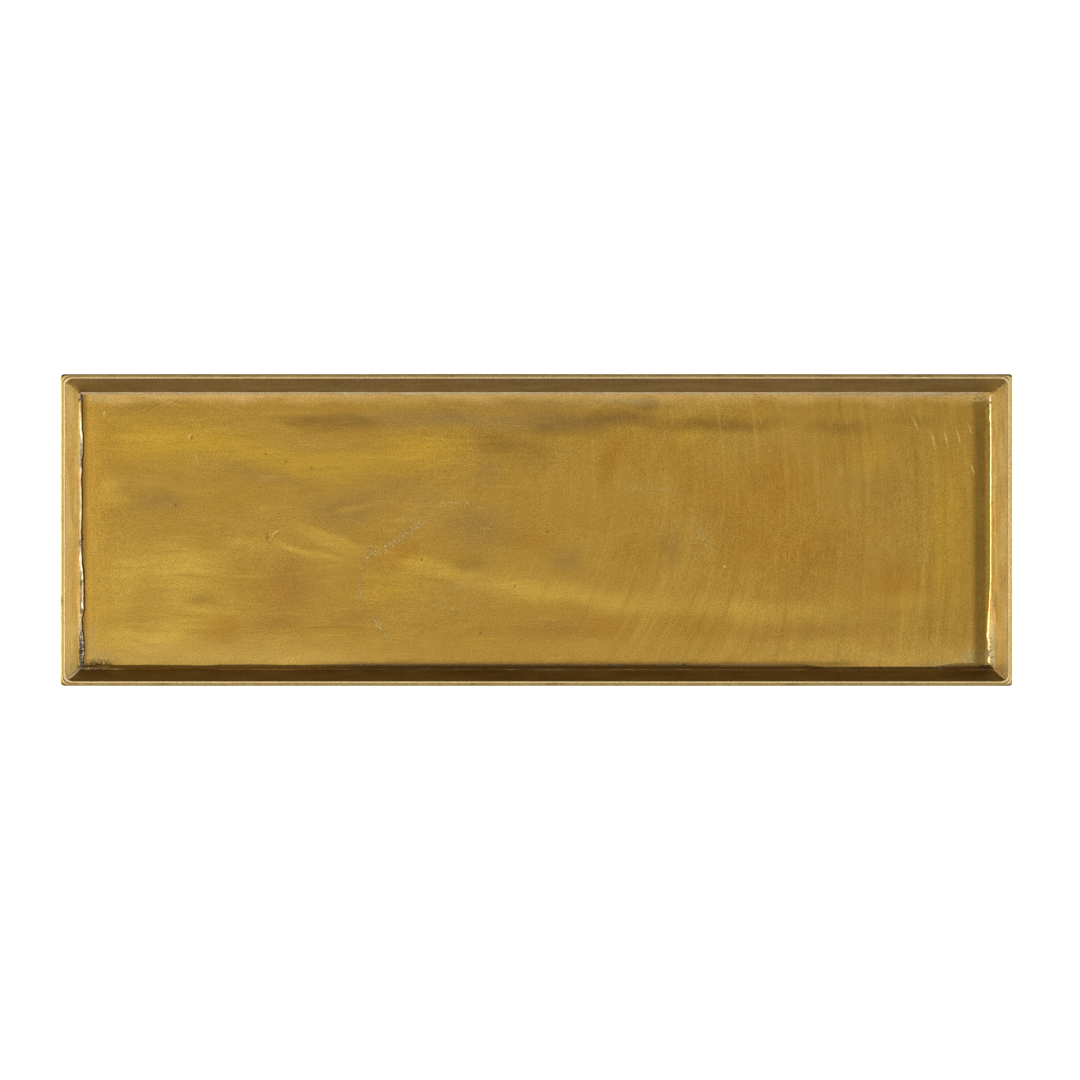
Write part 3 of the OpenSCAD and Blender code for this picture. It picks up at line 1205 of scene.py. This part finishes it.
def right_shape(at):
    puddle = 1 - ease(at, *RIGHT_PUDDLE)
    crust = 1 - ease(at, *RIGHT_CRUST)
    knot = ease(at, *RIGHT_KNOT)
    out, climb = 2.05 + 1.95 * puddle + 0.2 * knot, 0.7 + 2.8 * puddle
    return out, climb, 0.52 + 0.1 * puddle, 0.22 + 0.9 * crust + 0.7 * knot


def back_shape(at):
    wide = between(at, *BACK_WIDE)
    return 1.5 + 0.6 * wide, 0.42 + 0.25 * wide, 0.03, 0.5 + 0.3 * wide


def front_shape(at):
    narrow = between(at, *FRONT_NARROW)
    crust = 1 - ease(at, *FRONT_CRUST)
    out = 2 + 0.7 * ease(at, *FRONT_FULL) - 2.1 * narrow
    out += wave(31, FRONT_SWAY, at) + wave(32, FRONT_RIPPLE, at)
    return out, 3.6 - 2.8 * narrow, -0.4 + 0.95 * crust + 0.38 * narrow, 0.5 + 1.1 * crust


SEAM_SHAPES = {"left": left_shape, "right": right_shape, "back": back_shape, "front": front_shape}
LIP_SKEW = {"left": 2.2, "right": 1.5}
SEAM_LAP = 0.05 * MM
SEAM_SINK = 0.02 * MM
SEAM_ROOT = 0.3 * MM
SEAM_UNDERCUT = 0.1 * MM
SEAM_STEP = 0.6 * MM
LEAST_WIDTH = 0.4
# The runs' waves, as shares of a roughness of 1.
WIDTH_SWAY = (0.55, 0.014)
WIDTH_RIPPLE = (0.32, 0.004)
CLIMB_SWAY = (0.25, 0.016)
CLIMB_RIPPLE = (0.15, 0.004)
LUMPS = (0.5, 0.005, 0.5)
FINE_LUMPS = (0.14, 0.0018, 0.2)
# The flat apron beside the left run, which carries a painted shadow: its sway, width and height.
TOE_SHADOW_SWAY = (0.4, 0.01)
TOE_SHADOW_WIDTH = 1.1 * MM
TOE_SHADOW_HEIGHT = 0.05 * MM


def seam_section(side, seed):
    """A run of solder along the foot of a wall. On the left it ends in a lip with a flat apron beside
    it, which carries a painted shadow.
    """
    skew = LIP_SKEW.get(side, 1)

    def section(along):
        width, climb, bulge, rough = SEAM_SHAPES[side](along / MM)
        width += rough * (wave(seed, WIDTH_SWAY, along) + wave(seed + 1, WIDTH_RIPPLE, along))
        width = max(LEAST_WIDTH, width)
        climb *= 1 + rough * (wave(seed + 2, CLIMB_SWAY, along) + wave(seed + 5, CLIMB_RIPPLE, along))
        high = FLOOR_TOP + climb * MM
        start = Vector((inner(high) + SEAM_LAP, high))
        end = Vector((inner(FLOOR_TOP) - width * MM, FLOOR_TOP - SEAM_SINK))
        if side == "right":
            end.y += right_rise(HALF_X + end.x, along)
        chord = end - start
        facing = Vector((chord.y, -chord.x)).normalized()
        loop = [(inner(SEAM_FOOT) + SEAM_ROOT, SEAM_FOOT), tuple(start)]
        for i in range(1, SEAM_POINTS):
            t = i / SEAM_POINTS
            lump = bulge * (1 + rough * wave(seed + 3, LUMPS, along, t))
            lump += rough * wave(seed + 4, FINE_LUMPS, along, t)
            point = start + chord * t + facing * (lump * MM * math.sin(math.pi * t ** skew))
            loop.append(tuple(point))
        # On the left, a flat apron that carries a painted shadow.
        if side == "left":
            loop.append((end.x, FLOOR_TOP + TOE_SHADOW_HEIGHT))
            end.x -= TOE_SHADOW_WIDTH * (1 + wave(seed + 6, TOE_SHADOW_SWAY, along))
        loop += [tuple(end), (end.x + SEAM_UNDERCUT, SEAM_FOOT)]
        return loop
    return section


RIM_SEAM_STEP = 2 * MM
RIM_SEAM_LAP = 0.2 * MM
RIM_SEAM_SIZE = 0.8
RIM_SEAM_SWAY = (0.2, 0.01)
RIM_SEAM_HOLLOW = 0.35


def rim_seam_section(seed):
    """A thin hollow run of solder under a rim strip."""
    def section(along):
        leg = RIM_SEAM_LEG * (RIM_SEAM_SIZE + wave(seed, RIM_SEAM_SWAY, along))
        top = (outer(STRIP_FOOT) + leg, STRIP_FOOT + RIM_SEAM_LAP)
        foot = (outer(STRIP_FOOT - leg), STRIP_FOOT - leg)
        hollow = RIM_SEAM_HOLLOW * leg
        middle = (outer(STRIP_FOOT - hollow) + hollow, STRIP_FOOT - hollow)
        hidden = (outer(STRIP_FOOT) - RIM_SEAM_LAP, STRIP_FOOT + RIM_SEAM_LAP)
        return [hidden, top, middle, foot, (foot[0] - RIM_SEAM_LAP, foot[1])]
    return section


CORNER_RINGS = 40
CORNER_POINTS = 8
BEAD_DEPTH = 0.4 * MM
BEAD_ROOT = 0.2 * MM
BEAD_STOP = 0.6 * MM
BEAD_SPREAD = 0.24 * math.pi
BEAD_SWAY = (0.45, 0.004)
BEAD_RIPPLE = (0.25, 0.0015)
BEAD_LUMPS = (0.4, 0.0012, 3)
# Half width and height of a bead of size 1, at its foot and at the rim.
BEAD_HALF_WIDTH = (0.95 * MM, 0.35 * MM)
BEAD_HEIGHT = (0.55 * MM, 0.21 * MM)
BEAD_SIZES = {"front_left": 2.3, "front_right": 2.1, "back_left": 1.1, "back_right": 0.8}
BEAD_FULLNESS = {"front_left": 1.5, "front_right": 1.2, "back_left": 1, "back_right": 1}


def bead_outline(corner, seed, t):
    """The bead's outline at a share t of its height: its lumpy face, then the hidden back."""
    size = BEAD_SIZES[corner]
    up = FLOOR_TOP - BEAD_ROOT + (TOP - BEAD_STOP - FLOOR_TOP) * t
    bend = wall_bend(inner(up), up)
    ragged = 1 + wave(seed, BEAD_SWAY, up) + wave(seed + 1, BEAD_RIPPLE, up)
    half_width = size * ragged * (BEAD_HALF_WIDTH[0] * (1 - t) + BEAD_HALF_WIDTH[1] * t)
    spread = min(BEAD_SPREAD, half_width / bend)
    high = size * ragged * (BEAD_HEIGHT[0] * (1 - t) + BEAD_HEIGHT[1] * t) * BEAD_FULLNESS[corner]
    x, y = HALF_X + inner(up) - bend, HALF_Y + inner(up) - bend
    angles = [0.25 * math.pi + spread * (2 * i / CORNER_POINTS - 1) for i in range(CORNER_POINTS + 1)]
    reaches = []
    for i in range(CORNER_POINTS + 1):
        lump = 1 + wave(seed + 2, BEAD_LUMPS, up, i)
        reaches.append(bend + SEAM_SINK - high * lump * math.sin(math.pi * i / CORNER_POINTS))
    reaches += [bend + BEAD_DEPTH] * len(angles)
    around = zip(reaches, angles + angles[::-1])
    return [(x + reach * math.cos(a), y + reach * math.sin(a), up) for reach, a in around]


def make_corner_seam(corner, seed):
    """A bead of solder down the inside of a corner, thick at the foot and thin at the rim."""
    side_x = -1 if "left" in corner else 1
    side_y = -1 if "front" in corner else 1
    vertices, rings = [], []
    for k in range(CORNER_RINGS + 1):
        outline = bead_outline(corner, seed, k / CORNER_RINGS)
        rings.append(range(len(vertices), len(vertices) + len(outline)))
        vertices += [(side_x * x, side_y * y, z) for x, y, z in outline]
    faces = skin(rings)
    last = 2 * CORNER_POINTS + 1
    for ring in (rings[0], rings[-1]):
        faces += [
            (ring[i], ring[i + 1], ring[last - i - 1], ring[last - i])
            for i in range(CORNER_POINTS)
        ]
    finish_piece("corner_seam_" + corner, vertices, faces, "solder")


make_floor()
for number, side in enumerate(SIDES):
    seed = 100 + 20 * number
    bar("wall_" + side, side, wall_section(side, seed), WALL_STEP, "wall_brass", wall_bend)
    bar("rim_" + side, side, strip_section(seed + 5), STRIP_STEP, "rim_brass", strip_bend)
    bar("floor_seam_" + side, side, seam_section(side, seed + 10), SEAM_STEP, "solder")
    bar("rim_seam_" + side, side, rim_seam_section(seed + 17), RIM_SEAM_STEP, "solder", wall_bend)
for number, corner in enumerate(CORNERS):
    make_corner_seam(corner, 200 + 10 * number)

# ---- stage and light
STAGE_SIZE = 16
STAGE_LOOK = {
    "Base Color": (0.93, 0.93, 0.93, 1),
    "Roughness": 0.9,
    "Emission Color": (1, 1, 1, 1),
    "Emission Strength": 0.8,
}
STAGE_DROP = 0.1 * MM
WORLD_LIGHT = 0.05
# Softboxes: bearing and height in degrees, distance, width and depth in metres, brightness.
SOFTBOXES = {
    "overhead": (-90, 86, 2.2, 1.5, 1.1, 0.97),
    "left_high": (180, 62, 2.2, 1.3, 0.8, 1.25),
    "right_high": (0, 62, 2.2, 1.3, 0.8, 0.5),
    "left_low": (180, 13, 2, 1.8, 0.8, 4.5),
    "right_low": (0, 13, 2, 1.8, 0.8, 5.4),
    "front_high": (-90, 52, 2.2, 1.8, 0.7, 0.6),
    "back_high": (90, 58, 2.2, 1.8, 0.8, 0.36),
    "back_mid": (90, 34, 2.4, 3, 1, 0.16),
}


def make_stage():
    half = 0.5 * STAGE_SIZE
    mesh = bpy.data.meshes.new("stage_floor")
    corners = [(-half, -half, 0), (half, -half, 0), (half, half, 0), (-half, half, 0)]
    mesh.from_pydata(corners, [], [(0, 1, 2, 3)])
    floor = bpy.data.objects.new("stage_floor", mesh)
    floor.location.z = -STAGE_DROP
    SCENE.collection.objects.link(floor)
    material = bpy.data.materials.new("stage_white")
    material.use_nodes = True
    shader = material.node_tree.nodes["Principled BSDF"]
    for slot, value in STAGE_LOOK.items():
        shader.inputs[slot].default_value = value
    mesh.materials.append(material)


def softbox(name, bearing, height, distance, width, depth, brightness):
    """A soft area light that faces the tray. Brightness is what a mirror would show of it."""
    data = bpy.data.lights.new(name, "AREA")
    data.shape = "RECTANGLE"
    data.size, data.size_y = width, depth
    data.energy = brightness * math.pi * width * depth
    light = bpy.data.objects.new(name, data)
    level = math.cos(math.radians(height))
    toward = Vector((
        level * math.cos(math.radians(bearing)),
        level * math.sin(math.radians(bearing)),
        math.sin(math.radians(height)),
    ))
    light.location = toward * distance
    light.rotation_mode = "QUATERNION"
    light.rotation_quaternion = toward.to_track_quat("Z", "Y")
    light.visible_camera = False
    SCENE.collection.objects.link(light)


def make_world(strength):
    world = bpy.data.worlds.new("world")
    world.use_nodes = True
    inputs = world.node_tree.nodes["Background"].inputs
    inputs["Color"].default_value = (1, 1, 1, 1)
    inputs["Strength"].default_value = strength
    SCENE.world = world


make_stage()
make_world(WORLD_LIGHT)
for name, row in SOFTBOXES.items():
    softbox(name, *row)
SCENE.view_settings.view_transform = "Standard"
